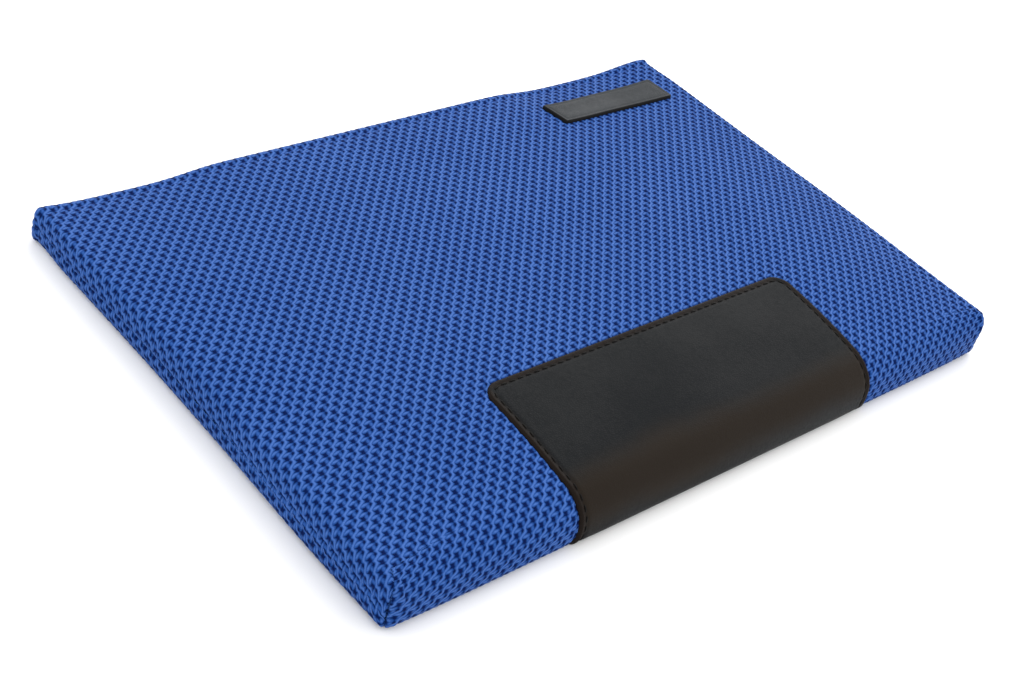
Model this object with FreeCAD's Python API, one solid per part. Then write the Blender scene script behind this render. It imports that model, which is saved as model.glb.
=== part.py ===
"""Slip-in laptop sleeve: a folded, padded nylon wrap with a leather patch and a leather label.

Millimetres, +Z up. X runs along the sleeve's width and +Y runs from the leather-trimmed fold to the
open mouth. The origin is under the middle of the sleeve, on the surface that it lies on.

Every layer is a share of one wedge-shaped body, cut at a depth below the outer face, so the layers
nest face to face: nylon, then foam with the stiffener let into it, then lining, then the hollow.
"""
import FreeCAD, Part
import math
import os

from FreeCAD import Placement, Rotation, Vector

# Overall size
WIDTH = 320.0
DEPTH = 212.0
CREST_HEIGHT = 25.4
MOUTH_HEIGHT = 14.4

# Outline of the fold, seen from the side
CREST_FROM_FOLD = 58.0
FOLD_ROOF_RADIUS = 290.0
FOLD_RADIUS = 10.0
TUCK_RADIUS = 6.0
SIDE_ROUND = 5.0

# Layers, from the outside in
SHELL_THICKNESS = 1.0
FOAM_THICKNESS = 3.2
LINING_THICKNESS = 0.5
SIDE_WALL = 10.0

# Turned-in hem at the mouth
HEM_DEPTH = 13.0
HEM_STITCH_INSET = 5.5
LINING_LIP_INSET = 3.0

# Plastic stiffener in the upper panel
STIFFENER_THICKNESS = 0.8
STIFFENER_CLEARANCE = 2.0

# Leather patch round the fold
PATCH_WIDTH = 161.0
PATCH_REACH = 57.5
PATCH_THICKNESS = 1.2
PATCH_CORNER = 7.5
PATCH_STITCH_INSET = 2.75

# Leather label on the upper panel
LABEL_LENGTH = 68.0
LABEL_WIDTH = 16.0
LABEL_THICKNESS = 1.8
LABEL_CORNER = 1.0
LABEL_SIDE_INSET = 15.0
LABEL_MOUTH_INSET = 17.5
LABEL_STITCH_INSET = 1.8

# Side seams: the turned-in edges of the nylon, and the tape bound over them
SEAM_ALLOWANCE = 7.0
BINDING_COVER = 4.0
BINDING_THICKNESS = 0.5
SEAM_STITCH_INSET = 1.6
CORNER_SEAM_REACH = 5.0

# Thread
THREAD_WIDTH = 0.8
THREAD_DEPTH = 0.5
STITCH_PITCH = 3.9
STITCH_LENGTH = 3.0
SMALL_PITCH = 2.8
SMALL_STITCH = 2.0

# Worked out from the sizes above
HALF_WIDTH = WIDTH / 2
FRONT = -DEPTH / 2
MOUTH = DEPTH / 2
CREST = FRONT + CREST_FROM_FOLD
FOAM_INNER = SHELL_THICKNESS + FOAM_THICKNESS
LINING_INNER = FOAM_INNER + LINING_THICKNESS
SEAM_HEIGHT_AT_FOLD = CREST_HEIGHT / 2
SEAM_HEIGHT_AT_MOUTH = MOUTH_HEIGHT / 2
SMALLEST_ROUND = 0.25
BEYOND = 40.0


def yz_point(y, z):
    return Vector(0, y, z)


def outline(inset):
    """The sleeve's side view as a face in the plane X = 0, drawn in by inset all round but the mouth."""
    roof_radius = FOLD_ROOF_RADIUS - inset
    roof_centre = yz_point(CREST, CREST_HEIGHT - FOLD_ROOF_RADIUS)
    fold_centre_y = FRONT + FOLD_RADIUS
    reach = FOLD_ROOF_RADIUS - FOLD_RADIUS
    rise = math.sqrt(reach ** 2 - (CREST - fold_centre_y) ** 2)
    fold_centre = yz_point(fold_centre_y, roof_centre.z + rise)
    towards_shoulder = (fold_centre - roof_centre).normalize()
    fold_radius = FOLD_RADIUS - inset
    shoulder = roof_centre + towards_shoulder * roof_radius
    roof_middle = (towards_shoulder + yz_point(0, 1)).normalize()
    fold_middle = (towards_shoulder + yz_point(-1, 0)).normalize()

    fall = CREST_HEIGHT - MOUTH_HEIGHT
    back_run = MOUTH - CREST
    back_radius = (back_run ** 2 + fall ** 2) / (2 * fall)
    back_centre = yz_point(CREST, CREST_HEIGHT - back_radius)
    inner_radius = back_radius - inset
    half_sweep = math.asin(back_run / inner_radius) / 2
    lip = back_centre + yz_point(math.sin(2 * half_sweep), math.cos(2 * half_sweep)) * inner_radius
    back_middle = back_centre + yz_point(math.sin(half_sweep), math.cos(half_sweep)) * inner_radius

    crest = yz_point(CREST, CREST_HEIGHT - inset)
    fold_front = yz_point(FRONT + inset, fold_centre.z)
    lower_lip = yz_point(MOUTH, inset)
    edges = [
        Part.LineSegment(lower_lip, lip).toShape(),
        Part.Arc(lip, back_middle, crest).toShape(),
        Part.Arc(crest, roof_centre + roof_middle * roof_radius, shoulder).toShape(),
        Part.Arc(shoulder, fold_centre + fold_middle * fold_radius, fold_front).toShape(),
    ]
    tuck = TUCK_RADIUS - inset
    if tuck > SMALLEST_ROUND:
        tuck_centre = yz_point(FRONT + TUCK_RADIUS, TUCK_RADIUS)
        tuck_front = tuck_centre + yz_point(-tuck, 0)
        tuck_under = tuck_centre + yz_point(0, -tuck)
        diagonal = math.sqrt(0.5) * tuck
        tuck_middle = tuck_centre + yz_point(-diagonal, -diagonal)
        edges.append(Part.LineSegment(fold_front, tuck_front).toShape())
        edges.append(Part.Arc(tuck_front, tuck_middle, tuck_under).toShape())
        edges.append(Part.LineSegment(tuck_under, lower_lip).toShape())
    else:
        corner = yz_point(FRONT + inset, inset)
        edges.append(Part.LineSegment(fold_front, corner).toShape())
        edges.append(Part.LineSegment(corner, lower_lip).toShape())
    return Part.Face(Part.Wire(edges))


def body(inset, side_inset=None):
    """The wedge-shaped body, drawn in by inset, with its two sides rounded and its mouth end flat."""
    half = HALF_WIDTH - (inset if side_inset is None else side_inset)
    face = outline(inset)
    face.translate(Vector(-half, 0, 0))
    solid = face.extrude(Vector(2 * half, 0, 0))
    side_round = SIDE_ROUND - inset
    if side_round < SMALLEST_ROUND:
        return solid
    rims = []
    for edge in solid.Edges:
        box = edge.BoundBox
        on_a_side = box.XLength < 1e-6
        in_the_mouth = box.YMin > MOUTH - 1e-6
        if on_a_side and not in_the_mouth:
            rims.append(edge)
    return solid.makeFillet(side_round, rims)


def block(x_low, x_high, y_low, y_high, z_low=-BEYOND, z_high=BEYOND + CREST_HEIGHT):
    size = Vector(x_high - x_low, y_high - y_low, z_high - z_low)
    return Part.makeBox(size.x, size.y, size.z, Vector(x_low, y_low, z_low))


def upright(wire, z_low=-BEYOND, z_high=BEYOND + CREST_HEIGHT):
    """A prism standing on a flat closed wire."""
    face = Part.Face(wire)
    face.translate(Vector(0, 0, z_low))
    return face.extrude(Vector(0, 0, z_high - z_low))


def join(first, others):
    return first.fuse(others).removeSplitter()


def solids(shape):
    """The solids of a boolean's result: one alone, or a compound of several."""
    found = shape.Solids
    return found[0] if len(found) == 1 else Part.makeCompound(found)


def patch_edge(grow):
    """The patch's outline on the plan: two sides, a back edge and two round corners."""
    half = PATCH_WIDTH / 2 + grow
    reach = FRONT + PATCH_REACH + grow
    corner = PATCH_CORNER + grow
    diagonal = corner * (1 - math.sqrt(0.5))
    start = Vector(-half, FRONT - BEYOND, 0)
    left = Vector(-half, reach - corner, 0)
    left_top = Vector(-half + corner, reach, 0)
    right_top = Vector(half - corner, reach, 0)
    right = Vector(half, reach - corner, 0)
    end = Vector(half, FRONT - BEYOND, 0)
    return [
        Part.LineSegment(start, left).toShape(),
        Part.Arc(left, Vector(-half + diagonal, reach - diagonal, 0), left_top).toShape(),
        Part.LineSegment(left_top, right_top).toShape(),
        Part.Arc(right_top, Vector(half - diagonal, reach - diagonal, 0), right).toShape(),
        Part.LineSegment(right, end).toShape(),
    ]


def patch_prism(grow):
    edges = patch_edge(grow)
    start = edges[0].Vertexes[0].Point
    end = edges[-1].Vertexes[-1].Point
    edges.append(Part.LineSegment(end, start).toShape())
    return upright(Part.Wire(edges))


def label_edge(grow):
    """The label's outline on the plan, grown or drawn in."""
    x_high = HALF_WIDTH - LABEL_SIDE_INSET + grow
    x_low = HALF_WIDTH - LABEL_SIDE_INSET - LABEL_LENGTH - grow
    y_high = MOUTH - LABEL_MOUTH_INSET + grow
    y_low = MOUTH - LABEL_MOUTH_INSET - LABEL_WIDTH - grow
    corners = [
        Vector(x_low, y_low, 0),
        Vector(x_high, y_low, 0),
        Vector(x_high, y_high, 0),
        Vector(x_low, y_high, 0),
    ]
    return Part.makePolygon(corners + corners[:1])


def label_prism(grow, corner=0.0):
    prism = upright(label_edge(grow), CREST_HEIGHT / 3)
    if corner > 0:
        uprights = [edge for edge in prism.Edges if edge.BoundBox.ZLength > 1]
        prism = prism.makeFillet(corner, uprights)
    return prism


def stitch_boxes(wire, pitch, length, keep, tall=2.0):
    """One box per stitch along a wire, lying along it, wherever keep(point) allows."""
    count = max(3, round(wire.Length / pitch))
    step = wire.Length / count
    fine = wire.discretize(Number=2 * count + 1)
    boxes = []
    for index in range(count):
        before, middle, after = fine[2 * index], fine[2 * index + 1], fine[2 * index + 2]
        if not keep(middle):
            continue
        stitch = min(length, 0.85 * step)
        box = Part.makeBox(stitch, 2.0, tall, Vector(-stitch / 2, -1.0, -tall / 2))
        box.Placement = Placement(middle, Rotation(Vector(1, 0, 0), after - before))
        boxes.append(box)
    return boxes


def seam_height(y):
    """Height of the side seam, half way up the side wall."""
    along = (y - FRONT) / DEPTH
    return SEAM_HEIGHT_AT_FOLD + along * (SEAM_HEIGHT_AT_MOUTH - SEAM_HEIGHT_AT_FOLD)


def seam_slab(side, outer, inner, thickness, y_low, y_high):
    """A slab at the side seam's height, from outer to inner, measured inward from the side."""
    x_outer = side * (HALF_WIDTH - outer)
    half = thickness / 2
    corners = [
        Vector(x_outer, y_low, seam_height(y_low) - half),
        Vector(x_outer, y_high, seam_height(y_high) - half),
        Vector(x_outer, y_high, seam_height(y_high) + half),
        Vector(x_outer, y_low, seam_height(y_low) + half),
    ]
    face = Part.Face(Part.makePolygon(corners + corners[:1]))
    return face.extrude(Vector(-side * (inner - outer), 0, 0))


# The nested bodies that every layer is cut from
outer_body = body(0)
shell_inner_body = body(SHELL_THICKNESS)
foam_inner_body = body(FOAM_INNER, SIDE_WALL - LINING_THICKNESS)
hollow_body = body(LINING_INNER, SIDE_WALL)
seam_front = FRONT + FOLD_RADIUS
seam_back = MOUTH - SHELL_THICKNESS
allowance_end = SHELL_THICKNESS + SEAM_ALLOWANCE
hem_start = MOUTH - HEM_DEPTH
SIDES = {"left": -1, "right": 1}


def make_leather_patch():
    """Leather wrapped round the fold, let into the padding so that it ends flush with the nylon."""
    wrap = outer_body.cut(body(PATCH_THICKNESS))
    return solids(wrap.common(patch_prism(0)))


def make_patch_thread():
    """The patch's line of stitches, over the top, round the fold and along the underside."""
    band = patch_prism(-PATCH_STITCH_INSET + THREAD_WIDTH / 2)
    band = band.cut(patch_prism(-PATCH_STITCH_INSET - THREAD_WIDTH / 2))
    groove = outer_body.cut(body(THREAD_DEPTH)).common(band)
    flat_start = seam_front
    path = Part.Wire(patch_edge(-PATCH_STITCH_INSET))
    tall = 4 * CREST_HEIGHT
    boxes = stitch_boxes(path, STITCH_PITCH, STITCH_LENGTH, lambda point: point.y > flat_start, tall)
    for side in SIDES.values():
        x = side * (PATCH_WIDTH / 2 - PATCH_STITCH_INSET)
        for wire in outer_body.slice(Vector(1, 0, 0), x):
            boxes += stitch_boxes(wire, STITCH_PITCH, STITCH_LENGTH, lambda point: point.y < flat_start)
    stitches = groove.common(Part.makeCompound(boxes))
    return solids(groove), solids(stitches)


def make_label():
    """The label, lying on the nylon near the mouth."""
    tag = body(-LABEL_THICKNESS).cut(outer_body)
    return solids(tag.common(label_prism(0, LABEL_CORNER)))


def make_label_thread():
    """The label's line of stitches, just inside its border."""
    band = label_prism(-LABEL_STITCH_INSET + THREAD_WIDTH / 2)
    band = band.cut(label_prism(-LABEL_STITCH_INSET - THREAD_WIDTH / 2))
    groove = body(-LABEL_THICKNESS).cut(body(THREAD_DEPTH - LABEL_THICKNESS)).common(band)
    path = label_edge(-LABEL_STITCH_INSET)
    boxes = []
    for edge in path.Edges:
        tall = 4 * CREST_HEIGHT
        boxes += stitch_boxes(Part.Wire(edge), SMALL_PITCH, SMALL_STITCH, lambda point: True, tall)
    stitches = groove.common(Part.makeCompound(boxes))
    return solids(groove), solids(stitches)


def make_hem_thread():
    """The topstitch that runs right round the mouth, through the turned-in hem."""
    centre = MOUTH - HEM_STITCH_INSET
    band = block(-WIDTH, WIDTH, centre - THREAD_WIDTH / 2, centre + THREAD_WIDTH / 2)
    groove = outer_body.cut(body(THREAD_DEPTH)).common(band)
    boxes = []
    for wire in outer_body.slice(Vector(0, 1, 0), centre):
        boxes += stitch_boxes(wire, STITCH_PITCH, STITCH_LENGTH, lambda point: True)
    stitches = groove.common(Part.makeCompound(boxes))
    return solids(groove), solids(stitches)


def make_outer_shell(patch, grooves):
    """The nylon: the wrap, the step under the patch, the hem and the seams' turned-in edges."""
    wrap = outer_body.cut(shell_inner_body)
    under_patch = outer_body.cut(body(PATCH_THICKNESS + SHELL_THICKNESS))
    under_patch = under_patch.common(patch_prism(SHELL_THICKNESS))
    lip = outer_body.cut(hollow_body)
    lip = lip.common(block(-WIDTH, WIDTH, MOUTH - SHELL_THICKNESS, MOUTH + BEYOND))
    facing = body(LINING_INNER - SHELL_THICKNESS, SIDE_WALL - SHELL_THICKNESS).cut(hollow_body)
    facing = facing.common(block(-WIDTH, WIDTH, hem_start, MOUTH + BEYOND))
    pieces = [under_patch, lip, facing]
    for side in SIDES.values():
        y_range = (seam_front, seam_back)
        pieces.append(seam_slab(side, SHELL_THICKNESS / 2, allowance_end, 2 * SHELL_THICKNESS, *y_range))
    shell = join(wrap, pieces).cut(patch)
    return solids(shell.cut(Part.makeCompound(grooves)))


def make_lining():
    """The cloth lining: a pocket whose edge is tucked under the turned-in hem."""
    pocket = foam_inner_body.cut(hollow_body)
    pocket = pocket.common(block(-WIDTH, WIDTH, FRONT - BEYOND, hem_start))
    tucked_depth = LINING_INNER - SHELL_THICKNESS - LINING_THICKNESS
    tucked_side = SIDE_WALL - SHELL_THICKNESS - LINING_THICKNESS
    tucked = body(tucked_depth, tucked_side)
    tucked = tucked.cut(body(LINING_INNER - SHELL_THICKNESS, SIDE_WALL - SHELL_THICKNESS))
    tucked = tucked.common(block(-WIDTH, WIDTH, hem_start, MOUTH - LINING_LIP_INSET))
    step = body(tucked_depth, tucked_side).cut(hollow_body)
    step = step.common(block(-WIDTH, WIDTH, hem_start - LINING_THICKNESS, hem_start))
    return solids(join(pocket, [tucked, step]))


def make_stiffener():
    """A thin plastic sheet between the nylon and the foam of the upper panel."""
    sheet = shell_inner_body.cut(body(SHELL_THICKNESS + STIFFENER_THICKNESS))
    half = HALF_WIDTH - SIDE_WALL - STIFFENER_CLEARANCE
    y_low = FRONT + PATCH_REACH + SHELL_THICKNESS + STIFFENER_CLEARANCE
    y_high = hem_start - STIFFENER_CLEARANCE
    return solids(sheet.common(block(-half, half, y_low, y_high, MOUTH_HEIGHT / 2)))


def make_seam_binding(side):
    """Tape folded over the raw edges of a side seam."""
    outer = allowance_end - BINDING_COVER
    inner = allowance_end + BINDING_THICKNESS
    thickness = 2 * SHELL_THICKNESS + 2 * BINDING_THICKNESS
    tape = seam_slab(side, outer, inner, thickness, seam_front, seam_back)
    fin = seam_slab(side, 0, allowance_end, 2 * SHELL_THICKNESS, FRONT, MOUTH)
    return solids(tape.cut(fin))


def make_seam_thread(side):
    """A side seam's needle and bobbin threads, on the two faces of its turned-in edges."""
    outer = SHELL_THICKNESS + SEAM_STITCH_INSET - THREAD_WIDTH / 2
    y_low = seam_front + SMALL_PITCH
    thickness = 2 * SHELL_THICKNESS + 2 * THREAD_DEPTH
    run = seam_slab(side, outer, outer + THREAD_WIDTH, thickness, y_low, seam_back - SMALL_PITCH)
    fin = seam_slab(side, 0, allowance_end, 2 * SHELL_THICKNESS, FRONT, MOUTH)
    x = side * (HALF_WIDTH - outer - THREAD_WIDTH / 2)
    start = Vector(x, y_low, seam_height(y_low))
    end = Vector(x, seam_back - SMALL_PITCH, seam_height(seam_back - SMALL_PITCH))
    path = Part.Wire(Part.LineSegment(start, end).toShape())
    tall = 4 * SHELL_THICKNESS + 4 * THREAD_DEPTH
    boxes = stitch_boxes(path, SMALL_PITCH, SMALL_STITCH, lambda point: True, tall)
    return solids(run.cut(fin).common(Part.makeCompound(boxes)))


def make_corner_thread(side):
    """The short upright seam that boxes a front corner, inside the nylon's front wall."""
    x = side * (HALF_WIDTH - SIDE_ROUND - CORNER_SEAM_REACH)
    y = FRONT + SHELL_THICKNESS
    z_low = TUCK_RADIUS
    stitches = []
    room = outline_shoulder_height() - z_low
    count = max(2, int(room / SMALL_PITCH))
    for index in range(count):
        z = z_low + index * SMALL_PITCH
        corner = Vector(x - THREAD_WIDTH / 2, y, z)
        stitches.append(Part.makeBox(THREAD_WIDTH, THREAD_DEPTH, SMALL_STITCH, corner))
    return Part.makeCompound(stitches)


def outline_shoulder_height():
    """Height at which the front wall's flat part meets the fold's round."""
    reach = FOLD_ROOF_RADIUS - FOLD_RADIUS
    run = CREST_FROM_FOLD - FOLD_RADIUS
    return CREST_HEIGHT - FOLD_ROOF_RADIUS + math.sqrt(reach ** 2 - run ** 2)


def make_foam(neighbours):
    """The foam that fills the wall between the nylon and the lining."""
    fill = shell_inner_body.cut(foam_inner_body)
    fill = fill.common(block(-WIDTH, WIDTH, FRONT - BEYOND, MOUTH - SHELL_THICKNESS))
    return solids(fill.cut(neighbours))


def build():
    patch_groove, patch_stitches = make_patch_thread()
    label_groove, label_stitches = make_label_thread()
    hem_groove, hem_stitches = make_hem_thread()
    patch = make_leather_patch()
    nodes = {
        "outer_shell": make_outer_shell(patch, [hem_groove]),
        "leather_patch": solids(patch.cut(patch_groove)),
        "patch_stitching": patch_stitches,
        "label": solids(make_label().cut(label_groove)),
        "label_stitching": label_stitches,
        "mouth_hem_stitching": hem_stitches,
        "lining": make_lining(),
        "stiffener_sheet": make_stiffener(),
    }
    for name, side in SIDES.items():
        nodes[name + "_seam_binding"] = make_seam_binding(side)
        nodes[name + "_side_seam_stitching"] = make_seam_thread(side)
        nodes[name + "_corner_stitching"] = make_corner_thread(side)
    inside = [shape for name, shape in nodes.items() if name not in ("label", "label_stitching")]
    nodes["foam_padding"] = make_foam(inside)
    return nodes


os.makedirs("parts", exist_ok=True)
for node_name, node_shape in build().items():
    node_shape.exportStep("parts/" + node_name + ".step")
    print(node_name, len(node_shape.Solids), "solids", round(node_shape.Volume), "mm3", node_shape.isValid())
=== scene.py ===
"""Looks of the laptop sleeve: woven nylon, leather, thread, lining, camera and studio light.

Lengths are metres in the CAD frame: X across the sleeve, +Y towards the mouth, +Z up. One smooth wrap
surface is made first. The weave, the leather, the label and every stitch are then laid on it by two
cloth coordinates: across, the distance from the middle line, and along, the distance from the lip.
"""
import math

import bpy
import numpy as np
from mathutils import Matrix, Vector


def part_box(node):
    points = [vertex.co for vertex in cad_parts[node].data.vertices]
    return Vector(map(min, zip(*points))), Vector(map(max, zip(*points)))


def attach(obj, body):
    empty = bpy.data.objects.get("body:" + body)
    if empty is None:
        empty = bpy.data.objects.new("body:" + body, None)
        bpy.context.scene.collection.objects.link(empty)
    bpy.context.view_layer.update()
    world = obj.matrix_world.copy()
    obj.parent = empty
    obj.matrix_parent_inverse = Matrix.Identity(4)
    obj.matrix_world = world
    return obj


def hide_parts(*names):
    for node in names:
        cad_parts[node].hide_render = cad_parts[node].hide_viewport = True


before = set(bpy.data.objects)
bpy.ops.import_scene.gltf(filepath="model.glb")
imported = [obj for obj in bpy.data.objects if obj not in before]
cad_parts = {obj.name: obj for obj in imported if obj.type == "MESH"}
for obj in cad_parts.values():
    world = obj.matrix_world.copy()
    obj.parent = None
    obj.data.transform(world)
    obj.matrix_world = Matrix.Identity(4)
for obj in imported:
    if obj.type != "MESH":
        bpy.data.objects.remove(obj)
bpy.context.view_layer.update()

MM = 0.001

# The sleeve's overall size, from the frame
shell_low, shell_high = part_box("outer_shell")
HALF_WIDTH = shell_high.x
FRONT = shell_low.y
MOUTH = shell_high.y
DEPTH = MOUTH - FRONT

# Heights of the soft body
CREST_HEIGHT = shell_high.z - 0.5 * MM
CREST_FROM_FOLD = 60 * MM
FOLD_DROP = 4.2 * MM
FOLD_DROP_LIMIT = 1.2
FALL_POWER = 1.9
LIP_HEIGHT = 14.4 * MM
FRONT_SIDE_HEIGHT = 20.2 * MM
MOUTH_SIDE_HEIGHT = 15.4 * MM
SIDE_RAMP = 70 * MM
SIDE_RAMP_POWER = 2.2
LIP_DIP = 2.6 * MM
LIP_DIP_PLACE = 43 * MM
LIP_DIP_SHIFT = 9 * MM
LIP_DIP_WIDTH = 34 * MM
LIP_DIP_REACH = 35 * MM
UNDERSIDE = 0.35 * MM
SIDE_SEAM_SHARE = 0.47
FOLD_SEAM_SHARE = 0.27

# Rounding of the fold above and below, of the sides at the fold and mouth, and of the front corners.
# Where a value differs between the panels, 1 is the upper panel and -1 the lower one.
FOLD_ROUND = {1: 13 * MM, -1: 3.5 * MM}
FRONT_SIDE_ROUND = 5.0 * MM
MOUTH_SIDE_ROUND = 3.4 * MM
CORNER_ROUND = 7.5 * MM
LEAST_ROUND = 1.5 * MM
CORNER_EAR = 1.2 * MM

# The fold's rounding tightens from END_START, a share of the way from the middle to the side, which
# moves the flat cloth beside it by an amount that fades over SLIDE_REACH. CORNER_BLEND is how quickly
# the corner's own rounding takes over where the fold and the side meet.
END_START = 0.7
END_TIGHTNESS = 0.8
CORNER_BLEND = 4
SLIDE_REACH = 30 * MM

# Powers of the rounded outlines: higher is squarer
SECTION_POWER = {1: 2.3, -1: 2.6}
SIDE_POWER = 3.2
CORNER_POWER_RISE = 12
CORNER_POWER_LIMIT = 5.0
PLAN_POWER = 2.2

# Small bends of the outline in plan
FRONT_BOW = 1.0 * MM
BOW_SHARPNESS = 10
BOW_REACH = 25 * MM
FRONT_SWAY = -1.1 * MM
SWAY_PLACE = 32 * MM
SWAY_WIDTH = 40 * MM
WAIST = 0.6 * MM
WAIST_PLACE = 75 * MM
WAIST_WIDTH = 45 * MM
HEM_PINCH = 0.8 * MM
HEM_PINCH_PLACE = 9 * MM
HEM_PINCH_WIDTH = 8 * MM

# Lengths of cloth given to the roundings, which only set how many rows and columns they get
SIDE_ARC = 12 * MM
FOLD_ARC = {1: 20 * MM, -1: 11 * MM}

# Walls and hem
LIP_WALL = 5.3 * MM
LIP_BULGE = 2.5 * MM
SIDE_WALL = 10 * MM
HEM_DEPTH = 13 * MM
HEM_STITCH_INSET = 5.5 * MM

# Weave: the distance between holes, and how finely it is modelled
HOLE_PITCH = 2.75 * MM
TOP_STEP = HOLE_PITCH / 4
UNDER_STEP = HOLE_PITCH / 2
RELIEF = 0.36 * MM
STAR_OR_DOT_SHARE = 0.34
HOLE_SHARE = 0.25

# Leather patch
patch_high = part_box("leather_patch")[1]
PATCH_HALF = patch_high.x
PATCH_REACH = patch_high.y - FRONT
PATCH_CORNER = 7.5 * MM
PATCH_THICKNESS = 1.3 * MM
PATCH_SINK = 0.7 * MM
PATCH_STITCH_INSET = 2.75 * MM
STITCH_PITCH = 3.9 * MM
STITCH_LENGTH = 2.9 * MM

# Label
label_low, label_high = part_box("label")
LABEL_THICKNESS = 1.7 * MM
LABEL_SINK = 0.35 * MM
LABEL_STITCH_INSET = 1.8 * MM

# Layers inside the wall, by depth below the nylon: outer and inner face
FOAM_DEPTHS = (2.0 * MM, 4.6 * MM)
PLATE_DEPTHS = (1.1 * MM, 1.9 * MM)
LINING_DEPTH = 4.95 * MM
LINING_FRONT_DEPTH = 4.9 * MM


# ---------------------------------------------------------------- the soft body

def smooth_bump(distance, width):
    return np.exp(-(distance / width) ** 2)


def top_height(x, y):
    """Height of the top face: a wedge with a crest, lower along both sides, dipping beside the lip's ends."""
    from_fold = y - FRONT
    fall = CREST_HEIGHT - LIP_HEIGHT
    behind = np.clip((from_fold - CREST_FROM_FOLD) / (DEPTH - CREST_FROM_FOLD), 0, 1)
    ahead = np.clip((CREST_FROM_FOLD - from_fold) / (CREST_FROM_FOLD - FOLD_ROUND[1]), 0, FOLD_DROP_LIMIT)
    middle = CREST_HEIGHT - fall * behind ** FALL_POWER - FOLD_DROP * ahead ** 2
    side_fall = FRONT_SIDE_HEIGHT - MOUTH_SIDE_HEIGHT
    side = FRONT_SIDE_HEIGHT - side_fall * np.clip(from_fold / DEPTH, 0, 1)
    side = np.minimum(side, middle + CORNER_EAR)
    from_side = np.clip(HALF_WIDTH - np.abs(x), 0, HALF_WIDTH)
    rise = 1 - (1 - np.minimum(from_side / SIDE_RAMP, 1)) ** SIDE_RAMP_POWER
    place = LIP_DIP_PLACE + LIP_DIP_SHIFT * np.sign(x)
    beside_place = np.exp(-((from_side - place) / LIP_DIP_WIDTH) ** 4)
    dip = LIP_DIP * beside_place * np.exp(-(MOUTH - y) / LIP_DIP_REACH)
    return side + (middle - side) * rise - dip


def half_width(y):
    """Half the width at seam height: pinched by the hem, with a slight waist."""
    from_mouth = MOUTH - y
    pinch = HEM_PINCH * smooth_bump(from_mouth - HEM_PINCH_PLACE, HEM_PINCH_WIDTH)
    waist = WAIST * smooth_bump(from_mouth - WAIST_PLACE, WAIST_WIDTH)
    return HALF_WIDTH - pinch - waist


def mix(first, second, share):
    return first + (second - first) * share


def body_point(across, side, fold, half, y_flat, wall=0.0, side_wall=0.0, front_wall=0.0):
    """Points of a layer of the sleeve.

    across runs from -1 to 1 over the flat part. side goes from 0 there to 1 at the side seam, and fold
    from 0 on a flat panel to 1 at the front. half is 1 on the upper panel and -1 on the lower one.
    """
    upper = half > 0
    up_or_down = 1 - np.maximum(side, fold)
    side_part = side / (side + fold + 1e-9)
    section_power = np.where(upper, SECTION_POWER[1], SECTION_POWER[-1])
    corner_power = np.minimum(CORNER_POWER_RISE * side * fold, CORNER_POWER_LIMIT)
    power = mix(section_power, SIDE_POWER, side_part) + corner_power
    outward = (side ** PLAN_POWER + fold ** PLAN_POWER) ** (1 / PLAN_POWER)
    norm = (outward ** power + up_or_down ** power) ** (1 / power)
    toward_mouth = np.clip((y_flat - FRONT) / DEPTH, 0, 1)
    side_round = mix(FRONT_SIDE_ROUND, MOUTH_SIDE_ROUND, toward_mouth)
    side_round = np.maximum(mix(side_round, CORNER_ROUND, fold) - side_wall, LEAST_ROUND)
    flat_start = np.where(upper, FOLD_ROUND[1], FOLD_ROUND[-1])
    end_share = np.clip((np.abs(across) - END_START) / (1 - END_START), 0, 1)
    toward_end = np.where(upper, END_TIGHTNESS * end_share ** 2, 0)
    tightness = 1 - (1 - side) * (1 - toward_end)
    at_corner = fold * np.minimum(CORNER_BLEND * side, 1)
    fold_round = mix(flat_start, CORNER_ROUND, np.maximum(tightness, at_corner))
    slide = mix(flat_start, CORNER_ROUND, tightness) - flat_start
    slide = slide * np.exp(-np.maximum(y_flat - FRONT - flat_start, 0) / SLIDE_REACH)
    y = np.where(fold > 0, FRONT + front_wall + fold_round * (1 - fold / norm), y_flat + slide)
    wide = half_width(y) - side_wall
    x = np.sign(across) * (wide - side_round * (1 - side / norm))
    x = np.where(side > 0, x, across * (wide - side_round))
    out = np.abs(x) / HALF_WIDTH
    x = x + FRONT_SWAY * smooth_bump(y - FRONT - SWAY_PLACE, SWAY_WIDTH) * out ** 2
    y = y + FRONT_BOW * np.exp((out - 1) * BOW_SHARPNESS) * np.exp((FRONT - y) / BOW_REACH)
    top = top_height(x, y)
    seam = mix(SIDE_SEAM_SHARE, FOLD_SEAM_SHARE, fold) * top
    height = up_or_down / norm
    z_upper = seam + (top - wall - seam) * height
    z_lower = seam - (seam - UNDERSIDE - wall) * height
    z = np.where(upper, z_upper, z_lower)
    return np.stack([x, y, z], axis=-1)


def columns(step, arc=SIDE_ARC):
    """Cloth columns from the left seam to the right one: place across the flat part, and side share."""
    flat = HALF_WIDTH - FRONT_SIDE_ROUND
    flat_count = 2 * round(flat / step)
    side_count = max(4, round(arc / step))
    middle = np.linspace(-1, 1, flat_count + 1)
    rise = np.arange(1, side_count + 1) / side_count
    across = np.concatenate([-np.ones(side_count), middle, np.ones(side_count)])
    side = np.concatenate([rise[::-1], 0 * middle, rise])
    return across, side


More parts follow.
